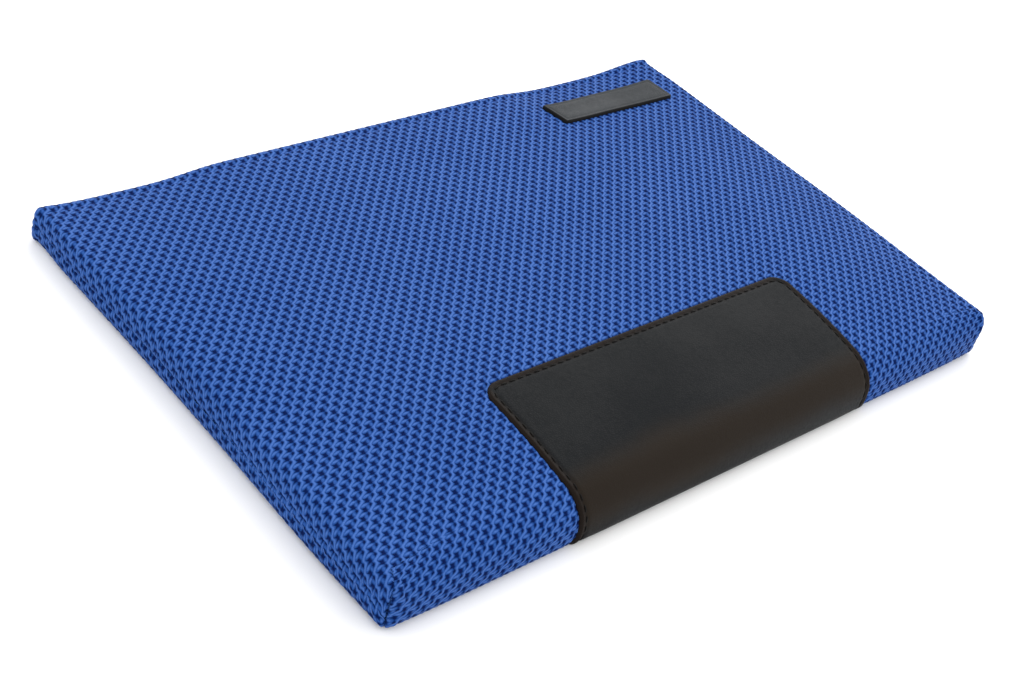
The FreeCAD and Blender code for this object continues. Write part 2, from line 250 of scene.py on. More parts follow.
def rows(upper_step, lower_step, lip=LIP_BULGE):
    """Cloth rows from the upper lip, round the fold, to the lower lip: fold share, half and y."""
    start, end = MOUTH - lip, FRONT + FOLD_ROUND[1]
    upper = np.linspace(start, end, round((start - end) / upper_step) + 1)
    under = FRONT + FOLD_ROUND[-1]
    lower = np.linspace(under, start, round((start - under) / lower_step) + 1)
    turn_up = np.linspace(0, 1, round(FOLD_ARC[1] / upper_step) + 1)[1:]
    turn_down = np.linspace(1, 0, round(FOLD_ARC[-1] / upper_step) + 1)[1:-1]
    fold = np.concatenate([0 * upper, turn_up, turn_down, 0 * lower])
    half = np.concatenate([1 + 0 * upper, 1 + 0 * turn_up, -1 + 0 * turn_down, -1 + 0 * lower])
    y = np.concatenate([upper, end + 0 * turn_up, under + 0 * turn_down, lower])
    return fold, half, y


def lengths_along(points, axis):
    """Distance along the grid's lines, from each line's first point."""
    gaps = np.linalg.norm(np.diff(points, axis=axis), axis=-1)
    start = np.zeros_like(np.take(gaps, [0], axis=axis))
    return np.concatenate([start, np.cumsum(gaps, axis=axis)], axis=axis)


def grid_normals(points):
    by_row = np.gradient(points, axis=0)
    by_column = np.gradient(points, axis=1)
    normal = np.cross(by_row, by_column)
    return normal / np.maximum(np.linalg.norm(normal, axis=-1, keepdims=True), 1e-12)


class Wrap:
    """The smooth outer surface on a grid, with its two cloth coordinates."""

    def __init__(self, upper_step, lower_step):
        across, side = columns(upper_step)
        fold, half, y = rows(upper_step, lower_step)
        self.points = body_point(
            across[None, :], side[None, :] + 0 * fold[:, None], fold[:, None], half[:, None], y[:, None])
        self.fold, self.half, self.side, self.y = fold, half, side, y
        self.middle = len(across) // 2
        self.normals = grid_normals(self.points)
        along = lengths_along(self.points, 0)[:, self.middle] + LIP_BULGE
        across_length = lengths_along(self.points, 1)
        self.across = across_length - across_length[:, [self.middle]]
        self.along = along
        self.flat_across = self.across[0]
        self.front_row = int(np.argmax(fold))

    def along_at(self, y, half):
        """The cloth coordinate along, at a y on the upper (1) or lower (-1) panel."""
        chosen = (self.half == half) & (self.fold == 0)
        ys, lengths = self.y[chosen], self.along[chosen]
        order = np.argsort(ys)
        return float(np.interp(y, ys[order], lengths[order]))

    def threads(self):
        """Where the weave's threads lie: straight on every panel, and cut where a front corner is boxed."""
        rows_at = np.arange(len(self.fold))
        above = rows_at <= self.front_row
        lengths = lengths_along(self.points, 0)
        from_lip = lengths + LIP_BULGE
        from_other_lip = lengths - lengths[-1] + self.along[-1]
        beside = np.where(above[:, None], from_lip, from_other_lip)
        flat = rows_at[self.fold == 0]
        last_upper = flat[flat < self.front_row][-1]
        first_lower = flat[flat > self.front_row][0]
        nearest_flat = np.where(above, last_upper, first_lower)
        nearest_flat = np.where(self.fold > 0, nearest_flat, rows_at)
        on_front = self.fold[:, None] > self.side[None, :]
        across = np.where(on_front, self.across, self.across[nearest_flat])
        along = np.where(on_front, self.along[:, None], beside)
        return across, along

    def at(self, across, along, lift):
        """Points over the cloth at these coordinates, lifted off it along its normal."""
        row = np.interp(along, self.along, np.arange(len(self.along)))
        column = np.interp(across, self.flat_across, np.arange(len(self.flat_across)))
        low_row = np.minimum(row.astype(int), len(self.along) - 2)
        low_column = np.minimum(column.astype(int), len(self.flat_across) - 2)
        down = (row - low_row)[..., None]
        over = (column - low_column)[..., None]

        def blend_of(values):
            first = mix(values[low_row, low_column], values[low_row, low_column + 1], over)
            second = mix(values[low_row + 1, low_column], values[low_row + 1, low_column + 1], over)
            return mix(first, second, down)

        normal = blend_of(self.normals)
        normal = normal / np.linalg.norm(normal, axis=-1, keepdims=True)
        return blend_of(self.points) + normal * np.asarray(lift)[..., None]


# ---------------------------------------------------------------- the weave's shape

# Distances here are in hole pitches. Star-shaped holes lie where both coordinates are whole numbers with
# an even sum, and small holes near the other whole numbers.

def hole_relief(u, v):
    """The broad part of the relief: deep at the star-shaped holes, shallower at the small ones."""
    star_or_dot = STAR_OR_DOT_SHARE * np.cos(math.pi * u) * np.cos(math.pi * v)
    holes = HOLE_SHARE * (np.cos(2 * math.pi * u) + np.cos(2 * math.pi * v))
    return -star_or_dot - holes


def repeated(a, b):
    """Two shader coordinates brought back to the repeat of the weave around zero."""
    p = (a + b) * 0.5
    q = (a - b) * 0.5
    p = p - p.math("ROUND")
    q = q - q.math("ROUND")
    return p + q, p - q


def yarn(u, v, centre, half_sizes, turn):
    """Height of a short visible piece of yarn: 1 on its back, 0 at its sides."""
    a, b = repeated(u - centre[0], v - centre[1])
    over = (a * math.cos(turn) + b * math.sin(turn)) * (1 / half_sizes[0])
    along = (b * math.cos(turn) - a * math.sin(turn)) * (1 / half_sizes[1])
    return (over * over + along * along) * -1 + 1


def winding_yarn(u, v):
    """Height of the yarn that climbs in steps across the weave."""
    start, sway, offset = 0.12, 0.17, 0.83
    thinner_by, half_width_of_yarn = 0.16, 0.38
    phase = (v - start) * (2 * math.pi)
    beside = u - v - phase.math("COSINE") * sway + offset
    beside = beside - (beside * 0.5).math("ROUND") * 2
    half = phase.math("SINE") * -thinner_by + half_width_of_yarn
    share = beside.math("DIVIDE", half)
    return share * share * -1 + 1


def yarn_relief(u, v):
    """The fine part of the relief: the yarns between the holes."""
    bridge_height, bridge_sink, hole_floor = 0.75, 0.12, -1.3
    crossing = yarn(u, v, centre=(0.38, 0.56), half_sizes=(0.66, 0.24), turn=0.06)
    bridge = yarn(u, v, centre=(0.64, 0.12), half_sizes=(0.26, 0.42), turn=-0.25)
    bridge = bridge * bridge_height - bridge_sink
    top = winding_yarn(u, v).math("MAXIMUM", crossing).math("MAXIMUM", bridge)
    return top.math("MAXIMUM", hole_floor)


# ---------------------------------------------------------------- meshes

def grid_chart(row_count, column_count):
    """Each grid point's place on one square chart."""
    columns_at, rows_at = np.meshgrid(np.linspace(0, 1, column_count), np.linspace(0, 1, row_count))
    return np.stack([columns_at, rows_at], axis=-1)


def grid_faces(row_count, column_count, start=0):
    index = start + np.arange(row_count * column_count).reshape(row_count, column_count)
    corners = [index[:-1, :-1], index[:-1, 1:], index[1:, 1:], index[1:, :-1]]
    return np.stack([c.ravel() for c in corners], axis=1)


def make_mesh(name, points, faces, cloth=None, chart=None):
    """A smooth-shaded object. cloth holds the weave's coordinates, and chart those of the square OFBake map.
    """
    mesh = bpy.data.meshes.new(name)
    points = np.asarray(points, np.float32).reshape(-1, 3)
    faces = np.asarray(faces, np.int32)
    mesh.vertices.add(len(points))
    mesh.vertices.foreach_set("co", points.ravel())
    mesh.loops.add(faces.size)
    mesh.loops.foreach_set("vertex_index", faces.ravel())
    mesh.polygons.add(len(faces))
    mesh.polygons.foreach_set("loop_start", np.arange(0, faces.size, faces.shape[1], dtype=np.int32))
    mesh.update(calc_edges=True)
    mesh.polygons.foreach_set("use_smooth", np.ones(len(faces), bool))
    for layer_name, coordinates in (("cloth", cloth), ("OFBake", chart)):
        if coordinates is not None:
            layer = mesh.uv_layers.new(name=layer_name)
            at_corners = np.asarray(coordinates, np.float32).reshape(-1, 2)[faces.ravel()]
            layer.uv.foreach_set("vector", at_corners.ravel())
    mesh.validate()
    piece = bpy.data.objects.new(name, mesh)
    bpy.context.scene.collection.objects.link(piece)
    return piece


def slab(name, upper, lower, cloth):
    """A closed slab between two grids of the same size, both with the same cloth coordinates."""
    row_count, column_count = upper.shape[:2]
    count = row_count * column_count
    top = grid_faces(row_count, column_count)
    bottom = grid_faces(row_count, column_count, count)[:, ::-1]
    index = np.arange(count).reshape(row_count, column_count)
    rim = np.concatenate([
        index[0, :-1], index[:-1, -1], index[-1, :0:-1], index[:0:-1, 0]])
    following = np.roll(rim, -1)
    sides = np.stack([following, rim, rim + count, following + count], axis=1)
    points = np.concatenate([upper.reshape(-1, 3), lower.reshape(-1, 3)])
    both_cloths = np.concatenate([cloth.reshape(-1, 2)] * 2)
    return make_mesh(name, points, np.concatenate([top, bottom, sides]), both_cloths)


def rest_on_floor(points, clearance=0.03 * MM):
    points[..., 2] = np.maximum(points[..., 2], clearance)
    return points


def rounded_rectangle(half_across, half_along, corner, step):
    """A grid over a rectangle with round corners, and each point's distance inside its edge."""
    across = np.linspace(-1, 1, 2 * round(half_across / step) + 1)
    along = np.linspace(-half_along, half_along, 2 * round(half_along / step) + 1)
    into_corner = np.clip(np.abs(along) - (half_along - corner), 0, corner)
    half = half_across - corner + np.sqrt(corner ** 2 - into_corner ** 2)
    u = across[None, :] * half[:, None]
    v = along[:, None] + 0 * u
    over_u = np.abs(u) - (half_across - corner)
    over_v = np.abs(v) - (half_along - corner)
    outside = np.hypot(np.maximum(over_u, 0), np.maximum(over_v, 0))
    inside = np.minimum(np.maximum(over_u, over_v), 0)
    return u, v, corner - outside - inside


def rectangle_path(half_across, half_along, corner, pitch):
    """Points and directions spaced by about pitch round a rectangle with round corners."""
    straight_u, straight_v = 2 * (half_across - corner), 2 * (half_along - corner)
    quarter = math.pi / 2 * corner
    total = 2 * (straight_u + straight_v) + 4 * quarter
    count = round(total / pitch)
    places, directions = [], []
    for index in range(count):
        left = (index + 0.5) * total / count
        u, v, angle = -half_across + corner, -half_along, 0.0
        for straight in (straight_u, straight_v, straight_u, straight_v):
            run = min(left, straight)
            u += run * math.cos(angle)
            v += run * math.sin(angle)
            left -= run
            if left <= 0:
                break
            turn = min(left, quarter) / corner
            u += corner * (math.sin(angle + turn) - math.sin(angle))
            v += corner * (math.cos(angle) - math.cos(angle + turn))
            angle += turn
            left -= min(left, quarter)
            if left <= 0:
                break
        places.append((u, v))
        directions.append((math.cos(angle), math.sin(angle)))
    return np.array(places), np.array(directions)


def stitch_row(name, surface, places, directions, length, thickness, lift, slant=0.1):
    """One short thread bar per place, lying on the surface and diving into it at both ends."""
    rings, around = 9, 8
    share = np.linspace(-1, 1, rings)
    shape = np.sqrt(np.maximum(1 - share ** 6, 0.02))
    dive = 0.9 * thickness * np.abs(share) ** 3
    turn = np.array([[math.cos(slant), -math.sin(slant)], [math.sin(slant), math.cos(slant)]])
    directions = directions @ turn.T
    path = places[:, None, :] + directions[:, None, :] * (share * length / 2)[None, :, None]
    centre = surface.at(path[..., 0], path[..., 1], lift - dive[None, :])
    above = surface.at(path[..., 0], path[..., 1], lift - dive[None, :] + MM)
    up = (above - centre) / MM
    forward = np.gradient(centre, axis=1)
    forward /= np.linalg.norm(forward, axis=-1, keepdims=True)
    sideways = np.cross(forward, up)
    sideways /= np.linalg.norm(sideways, axis=-1, keepdims=True)
    up = np.cross(sideways, forward)
    angle = np.arange(around) / around * 2 * math.pi
    radius = (thickness / 2 * shape)[None, :, None, None]
    ring = sideways[:, :, None, :] * np.cos(angle)[None, None, :, None]
    ring = ring + up[:, :, None, :] * np.sin(angle)[None, None, :, None]
    points = centre[:, :, None, :] + radius * ring
    index = np.arange(rings * around).reshape(rings, around)
    ahead = np.roll(index, -1, axis=1)
    one = np.stack([index[:-1], ahead[:-1], ahead[1:], index[1:]], axis=-1).reshape(-1, 4)
    half = around // 2
    caps = []
    for ring_index, order in ((index[0], 1), (index[-1], -1)):
        for first in range(1, half):
            strip = [ring_index[first - 1], ring_index[first], ring_index[-first - 1], ring_index[-first]]
            caps.append(strip[::order])
    one = np.concatenate([one, np.array(caps)])
    faces = one[None] + (np.arange(len(places)) * rings * around)[:, None, None]
    return make_mesh(name, rest_on_floor(points), faces.reshape(-1, 4))


# ---------------------------------------------------------------- sleeve pieces

def patch_distance(wrap, across, along):
    """Distance inside the leather patch's outline, in cloth coordinates, negative outside."""
    centre, half_along = patch_span(wrap)
    over_across = np.abs(across) - (PATCH_HALF - PATCH_CORNER)
    over_along = np.abs(along - centre) - (half_along - PATCH_CORNER)
    outside = np.hypot(np.maximum(over_across, 0), np.maximum(over_along, 0))
    inside = np.minimum(np.maximum(over_across, over_along), 0)
    return PATCH_CORNER - outside - inside


def patch_span(wrap):
    """The patch's middle and half length along the cloth."""
    start = wrap.along_at(FRONT + PATCH_REACH, 1)
    end = wrap.along_at(FRONT + PATCH_REACH, -1)
    return (start + end) / 2, (end - start) / 2


def label_span(wrap):
    """The label's middle and half sizes across and along the cloth."""
    near = wrap.along_at(label_low.y, 1)
    far = wrap.along_at(label_high.y, 1)
    middle = ((label_low.x + label_high.x) / 2, (near + far) / 2)
    return middle, ((label_high.x - label_low.x) / 2, (near - far) / 2)


def sewn_relief(wrap, across, along):
    """How far seams and sewn-on pieces pull the nylon in (negative) or leave it full (positive)."""
    patch_edge, label_edge = 0.35 * MM, 0.5 * MM
    stitch_pull, stitch_width = 0.5 * MM, 0.8 * MM
    ridge, ridge_place, ridge_width = 0.25 * MM, 2.6 * MM, 1.6 * MM
    inside_patch = patch_distance(wrap, across, along)
    pull = -PATCH_SINK / (1 + np.exp(-inside_patch / patch_edge))
    (label_x, label_v), (label_u, label_w) = label_span(wrap)
    off_label = np.maximum(np.abs(across - label_x) - label_u, np.abs(along - label_v) - label_w)
    pull = pull - LABEL_SINK / (1 + np.exp(np.clip(off_label / label_edge, -30, 30)))
    end = wrap.along[-1] + LIP_BULGE
    for lip in (along, end - along):
        phase = 0.75 + 0.25 * np.cos(2 * math.pi * across / STITCH_PITCH)
        pull = pull - stitch_pull * phase * smooth_bump(lip - HEM_STITCH_INSET, stitch_width)
        pull = pull + ridge * smooth_bump(lip - ridge_place, ridge_width)
    return pull


def seam_relief(wrap):
    """The side seams' groove with a ridge on each side, and the crease that boxes each front corner."""
    groove_depth, groove_width = 0.4 * MM, 0.8 * MM
    ridge, ridge_place, ridge_width = 0.12 * MM, 2.2 * MM, 1.2 * MM
    crease_depth, crease_width, panel_length = 0.8 * MM, 0.9 * MM, 14 * MM
    crease_start, crease_fade = 0.25, 0.2
    edge = np.abs(wrap.across[:, [-1]])
    from_seam = np.abs(edge - np.abs(wrap.across))
    groove = -groove_depth * smooth_bump(from_seam, groove_width)
    groove = groove + ridge * smooth_bump(from_seam - ridge_place, ridge_width)
    side, fold = wrap.side[None, :], wrap.fold[:, None]
    off_crease = (side - fold) * panel_length
    strength = np.clip((np.minimum(side, fold) - crease_start) / crease_fade, 0, 1)
    crease = -crease_depth * strength * smooth_bump(off_crease, crease_width)
    return groove + crease


def lip_and_facing(wrap, upper):
    """Rows of the turned-in hem: round the lip, then inside the mouth."""
    across, side = columns(TOP_STEP)
    half = 1 if upper else -1
    outer = wrap.points[0] if upper else wrap.points[-1]
    lip_y = MOUTH - LIP_BULGE
    turn = np.linspace(0, math.pi, round(math.pi * LIP_BULGE / TOP_STEP) + 1)[1:]
    depth = np.linspace(0, HEM_DEPTH - LIP_BULGE, round(HEM_DEPTH / TOP_STEP) + 1)[1:]

    def inner(y):
        flat = np.full_like(across, y)
        ones = np.full_like(across, half)
        return body_point(across, side, 0 * across, ones, flat, LIP_WALL, SIDE_WALL)

    lip = []
    for angle in turn:
        point = mix(outer, inner(lip_y), (1 - math.cos(angle)) / 2)
        point[:, 1] = lip_y + LIP_BULGE * math.sin(angle)
        lip.append(point)
    facing = [inner(lip_y - step) for step in depth]
    return np.stack(lip + facing)


def make_nylon(wrap):
    """The outer wrap of woven nylon, with its weave as real relief, and its hem turned in at the mouth."""
    start = lip_and_facing(wrap, True)[::-1]
    end = lip_and_facing(wrap, False)
    points = np.concatenate([start, wrap.points, end])
    normals = grid_normals(points)
    along = lengths_along(points, 0)[:, wrap.middle]
    along = along - along[len(start)] + LIP_BULGE

    def over_hems(values):
        """Values of the wrap, with those at each lip carried on over its hem."""
        first = np.repeat(values[:1], len(start), 0)
        last = np.repeat(values[-1:], len(end), 0)
        return np.concatenate([first, values, last])

    across = over_hems(wrap.across)
    along = np.repeat(along[:, None], across.shape[1], 1)
    centre = patch_span(wrap)[0]
    threads_across, threads_along = wrap.threads()
    u = over_hems(threads_across) / HOLE_PITCH
    v = (centre - np.concatenate([along[:len(start)], threads_along, along[-len(end):]])) / HOLE_PITCH
    relief = RELIEF * hole_relief(u, v) + sewn_relief(wrap, across, along)
    relief = relief + over_hems(seam_relief(wrap))
    points = rest_on_floor(points + normals * relief[..., None])
    shape = points.shape[:2]
    cloth = np.stack([u, v], axis=-1)
    piece = make_mesh("nylon_wrap", points, grid_faces(*shape), cloth, grid_chart(*shape))
    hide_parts("outer_shell")
    return piece


def patch_stitches(wrap):
    """Places and directions of the patch's stitches, measured from its middle."""
    half_along = patch_span(wrap)[1]
    return rectangle_path(
        PATCH_HALF - PATCH_STITCH_INSET, half_along - PATCH_STITCH_INSET,
        PATCH_CORNER - PATCH_STITCH_INSET, STITCH_PITCH)


def patch_relief(wrap, u, v, inside):
    """The patch's face above its back: round at the edge, dented along the stitches, raised beside them."""
    edge_round, skirt = 0.9 * MM, 0.1 * MM
    groove_width, stitch_dip_width = 0.75 * MM, 1.5 * MM
    near_edge = np.clip(1 - inside / edge_round, 0, 1)
    lift = (PATCH_THICKNESS + skirt) * np.sqrt(1 - near_edge ** 2) - skirt
    groove = smooth_bump(inside - PATCH_STITCH_INSET, groove_width)
    held_up = np.zeros_like(u)
    on_line = np.abs(inside - PATCH_STITCH_INSET) < 2 * MM
    for u_at, v_at in patch_stitches(wrap)[0]:
        near = on_line & (np.abs(u - u_at) < 4 * MM) & (np.abs(v - v_at) < 4 * MM)
        held_up[near] += smooth_bump(np.hypot(u[near] - u_at, v[near] - v_at), stitch_dip_width)
    lift = lift - groove * (0.62 - 0.3 * np.minimum(held_up, 1)) * MM
    rim = smooth_bump(inside - 1.1 * MM, 0.7 * MM) * 0.12 * MM
    puffed = 0.15 * MM * np.clip((inside - 6 * MM) / (10 * MM), 0, 1)
    return lift + rim + puffed


def make_patch(wrap):
    """The leather patch, wrapped round the fold."""
    grid_step, back_depth = 0.7 * MM, 0.25 * MM
    centre, half_along = patch_span(wrap)
    u, v, inside = rounded_rectangle(PATCH_HALF, half_along, PATCH_CORNER, grid_step)
    sunk = patch_relief(wrap, u, v, inside) - PATCH_SINK
    upper = rest_on_floor(wrap.at(u, v + centre, sunk))
    lower = wrap.at(u, v + centre, np.full_like(u, -PATCH_SINK - back_depth))
    piece = slab("leather_wrap", upper, rest_on_floor(lower, 0.1 * MM), np.stack([u, v], axis=-1))
    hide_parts("leather_patch")
    return piece


def make_patch_thread(wrap):
    """The stitches that hold the patch, in the groove just inside its edge."""
    thickness, below_face = 0.62 * MM, 0.22 * MM
    places, directions = patch_stitches(wrap)
    places[:, 1] += patch_span(wrap)[0]
    lift = PATCH_THICKNESS - PATCH_SINK - below_face
    piece = stitch_row("patch_thread", wrap, places, directions, STITCH_LENGTH, thickness, lift)
    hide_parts("patch_stitching")
    return piece


def make_label(wrap):
    """The leather label: a thick cut edge and a pressed border line, with nothing written on it."""
    corner, grid_step = 0.9 * MM, 0.45 * MM
    edge_round, skirt, back_depth = 0.5 * MM, 0.1 * MM, 0.7 * MM
    pressed, pressed_width = 0.3 * MM, 0.45 * MM
    raised, raised_place, raised_width = 0.12 * MM, 4 * MM, 2 * MM
    (x, along), (half_across, half_along) = label_span(wrap)
    u, v, inside = rounded_rectangle(half_across, half_along, corner, grid_step)
    near_edge = np.clip(1 - inside / edge_round, 0, 1)
    lift = (LABEL_THICKNESS + skirt) * (1 - near_edge ** 2) ** 0.4 - skirt
    lift = lift - pressed * smooth_bump(inside - LABEL_STITCH_INSET, pressed_width)
    lift = lift + raised * smooth_bump(inside - raised_place, raised_width) - LABEL_SINK
    upper = wrap.at(u + x, v + along, lift)
    lower = wrap.at(u + x, v + along, np.full_like(u, -back_depth))
    piece = slab("label_tag", upper, lower, np.stack([u, v], axis=-1))
    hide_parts("label")
    return piece


def make_label_thread(wrap):
    """The fine stitches in the label's pressed border."""
    corner, pitch = 0.5 * MM, 2.6 * MM
    length, thickness, slant, below_face = 1.9 * MM, 0.36 * MM, 0.06, 0.43 * MM
    (x, along), (half_across, half_along) = label_span(wrap)
    inset = LABEL_STITCH_INSET
    places, directions = rectangle_path(half_across - inset, half_along - inset, corner, pitch)
    places += np.array([x, along])
    lift = LABEL_THICKNESS - LABEL_SINK - below_face
    piece = stitch_row("label_thread", wrap, places, directions, length, thickness, lift, slant)
    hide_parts("label_stitching")
    return piece


def make_hem_thread(wrap):
    """The topstitch along both lips."""
    thickness, below_face = 0.5 * MM, 0.28 * MM
    end = wrap.along[-1] + LIP_BULGE
    reach = HALF_WIDTH - FRONT_SIDE_ROUND
    count = 2 * int(reach / STITCH_PITCH)
    across = (np.arange(count) - (count - 1) / 2) * STITCH_PITCH
    places = np.concatenate([
        np.stack([across, np.full_like(across, HEM_STITCH_INSET)], axis=1),
        np.stack([across, np.full_like(across, end - HEM_STITCH_INSET)], axis=1)])
    directions = np.tile([1.0, 0.0], (len(places), 1))
    piece = stitch_row("hem_thread", wrap, places, directions, STITCH_LENGTH, thickness, -below_face)
    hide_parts("mouth_hem_stitching")
    return piece


def layer_slab(name, wrap, half_across, along_start, along_end, depths):
    """A flexible sheet inside the wall, between two depths below the cloth."""
    step = 2.5 * MM
    outer, inner = depths
    across = np.linspace(-half_across, half_across, round(2 * half_across / step) + 1)
    along = np.linspace(along_start, along_end, round((along_end - along_start) / step) + 1)
    u, v = np.meshgrid(across, along)
    upper = wrap.at(u, v, np.full_like(u, -outer))
    lower = wrap.at(u, v, np.full_like(u, -inner))
    return slab(name, upper, lower, np.stack([u, v], axis=-1))


def make_foam(wrap):
    """The foam sheet, which follows the nylon round the fold."""
    side_gap, lip_gap = 11 * MM, 4 * MM
    end = wrap.along[-1] + LIP_BULGE
    foam = layer_slab("foam", wrap, HALF_WIDTH - side_gap, lip_gap, end - lip_gap, FOAM_DEPTHS)
    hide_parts("foam_padding")
    return foam


def make_plate(wrap):
    """The stiffener sheet under the upper panel, between the hem and the patch."""
    side_gap, hem_gap, patch_gap = 12 * MM, 2 * MM, 3 * MM
    start = wrap.along_at(MOUTH - HEM_DEPTH - hem_gap, 1)
    end = wrap.along_at(FRONT + PATCH_REACH + patch_gap, 1)
    plate = layer_slab("stiffener_plate", wrap, HALF_WIDTH - side_gap, start, end, PLATE_DEPTHS)
    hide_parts("stiffener_sheet")
    return plate


def make_lining():
    """The pocket's lining, from hem to hem round the inside of the fold."""
    step, arc, under_hem, side_gap = 2 * MM, 10 * MM, 4 * MM, 0.5 * MM
    across, side = columns(step, arc)
    fold, half, y = rows(step, step, HEM_DEPTH - under_hem)
    grid = [side[None, :] + 0 * fold[:, None], fold[:, None], half[:, None], y[:, None]]
    points = body_point(
        across[None, :], *grid, LINING_DEPTH, SIDE_WALL - side_gap, LINING_FRONT_DEPTH)
    middle = len(across) // 2
    length = lengths_along(points, 0)[:, middle]
    width = lengths_along(points, 1)
    cloth = np.stack([width, np.repeat(length[:, None], width.shape[1], 1)], axis=-1)
    shape = points.shape[:2]
    lining = make_mesh("lining_cloth", points, grid_faces(*shape)[:, ::-1], cloth, grid_chart(*shape))
    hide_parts("lining")
    return lining


# ---------------------------------------------------------------- materials

class Field:
    """A number or vector in a shader tree that can be added, multiplied and compared like a number."""

    def __init__(self, tree, socket):
        self.tree = tree
        self.socket = socket

    def math(self, operation, other=None):
        node = self.tree.nodes.new("ShaderNodeMath")
        node.operation = operation
        self.tree.links.new(self.socket, node.inputs[0])
        if isinstance(other, Field):
            self.tree.links.new(other.socket, node.inputs[1])
        elif other is not None:
            node.inputs[1].default_value = other
        return Field(self.tree, node.outputs[0])

    def __add__(self, other):
        return self.math("ADD", other)

    def __sub__(self, other):
        return self.math("SUBTRACT", other)

    def __mul__(self, other):
        return self.math("MULTIPLY", other)

    def range(self, low, high, to_low=0.0, to_high=1.0):
        """Stretched smoothly from low..high to to_low..to_high."""
        node = self.tree.nodes.new("ShaderNodeMapRange")
        node.interpolation_type = "SMOOTHSTEP"
        self.tree.links.new(self.socket, node.inputs["Value"])
        for socket, value in zip(node.inputs[1:5], (low, high, to_low, to_high)):
            socket.default_value = value
        return Field(self.tree, node.outputs["Result"])


# Sockets of a Mix node that blends colours
MIX_SHARE, MIX_FIRST, MIX_SECOND, MIX_RESULT = 0, 6, 7, 2


class Finish:
    """A material with its Principled shader and the few nodes that every finish here uses."""

    def __init__(self, name):
        self.material = bpy.data.materials.new(name)
        self.material.use_nodes = True
        self.tree = self.material.node_tree
        self.shader = self.tree.nodes["Principled BSDF"]

    def set(self, **values):
        for name, value in values.items():
            self.shader.inputs[name.replace("_", " ")].default_value = value

    def link(self, name, field):
        self.tree.links.new(field.socket, self.shader.inputs[name])

    def cloth(self):
        """The two cloth coordinates."""
        node = self.tree.nodes.new("ShaderNodeUVMap")
        node.uv_map = "cloth"
        split = self.tree.nodes.new("ShaderNodeSeparateXYZ")
        self.tree.links.new(node.outputs["UV"], split.inputs[0])
        return Field(self.tree, split.outputs[0]), Field(self.tree, split.outputs[1])

    def place(self):
        """The point's place on the object, in metres."""
        node = self.tree.nodes.new("ShaderNodeTexCoord")
        return Field(self.tree, node.outputs["Object"])

    def noise(self, scale, detail=3.0, roughness=0.5):
        node = self.tree.nodes.new("ShaderNodeTexNoise")
        node.inputs["Scale"].default_value = scale
        node.inputs["Detail"].default_value = detail
        node.inputs["Roughness"].default_value = roughness
        self.tree.links.new(self.place().socket, node.inputs["Vector"])
        return Field(self.tree, node.outputs["Fac"])

    def cells(self, scale):
        node = self.tree.nodes.new("ShaderNodeTexVoronoi")
        node.feature = "DISTANCE_TO_EDGE"
        node.inputs["Scale"].default_value = scale
        self.tree.links.new(self.place().socket, node.inputs["Vector"])
        return Field(self.tree, node.outputs["Distance"])

    def colours(self, field, *stops):
        """A colour ramp over field: stops are (place, (r, g, b))."""
        node = self.tree.nodes.new("ShaderNodeValToRGB")
        ramp = node.color_ramp
        while len(ramp.elements) < len(stops):
            ramp.elements.new(0.5)
        for element, (place, colour) in zip(ramp.elements, stops):
            element.position = place
            element.color = (*colour, 1)
        self.tree.links.new(field.socket, node.inputs["Fac"])
        return Field(self.tree, node.outputs["Color"])

    def blend(self, share, colour, field):
        """From a plain colour, where share is 0, to a colour field, where it is 1."""
        node = self.tree.nodes.new("ShaderNodeMix")
        node.data_type = "RGBA"
        self.tree.links.new(share.socket, node.inputs[MIX_SHARE])
        node.inputs[MIX_FIRST].default_value = (*colour, 1)
        self.tree.links.new(field.socket, node.inputs[MIX_SECOND])
        return Field(self.tree, node.outputs[MIX_RESULT])

    def bump(self, field, distance, strength=1.0, below=None):
        node = self.tree.nodes.new("ShaderNodeBump")
        node.inputs["Strength"].default_value = strength
        node.inputs["Distance"].default_value = distance
        self.tree.links.new(field.socket, node.inputs["Height"])
        if below is not None:
            self.tree.links.new(below.socket, node.inputs["Normal"])
        return Field(self.tree, node.outputs["Normal"])


def nylon_finish():
    """Coarse basket weave, with painted light in its colour: painted highlight on the yarn backs and painted
    shade, deep navy, in the holes.
    """
    finish = Finish("blue_nylon_weave")
    u, v = finish.cloth()
    wander = (finish.noise(110.0, detail=3.0, roughness=0.6) - 0.5) * 0.2
    height = yarn_relief(u + wander, v - wander)
    patches = finish.noise(28.0, detail=3.0, roughness=0.55)
    fuzz = finish.noise(2600.0, detail=2.0, roughness=0.6)
    share = (height + (patches - 0.5) * 0.3 + (fuzz - 0.5) * 0.9).range(-1.5, 1.25)
    # The ramp runs from the holes to the yarn backs: its dark stops are painted shade in the holes, and its
    # brightest stop is the yarn's blue partly raised by painted highlight.
    colour = finish.colours(
        share, (0.0, (0.0002, 0.006, 0.056)), (0.3, (0.0008, 0.0145, 0.09)),
        (0.6, (0.007, 0.04, 0.185)), (0.85, (0.016, 0.067, 0.262)), (1.0, (0.048, 0.12, 0.37)))
    finish.link("Base Color", colour)
    finish.link("Roughness", share.range(0.0, 1.0, to_low=0.8, to_high=0.5))
    weave = finish.bump(height, distance=0.27 * MM, strength=1.0)
    finish.link("Normal", finish.bump(fuzz, distance=0.06 * MM, strength=0.6, below=weave))
    finish.set(Specular_IOR_Level=0.05)
    return finish.material


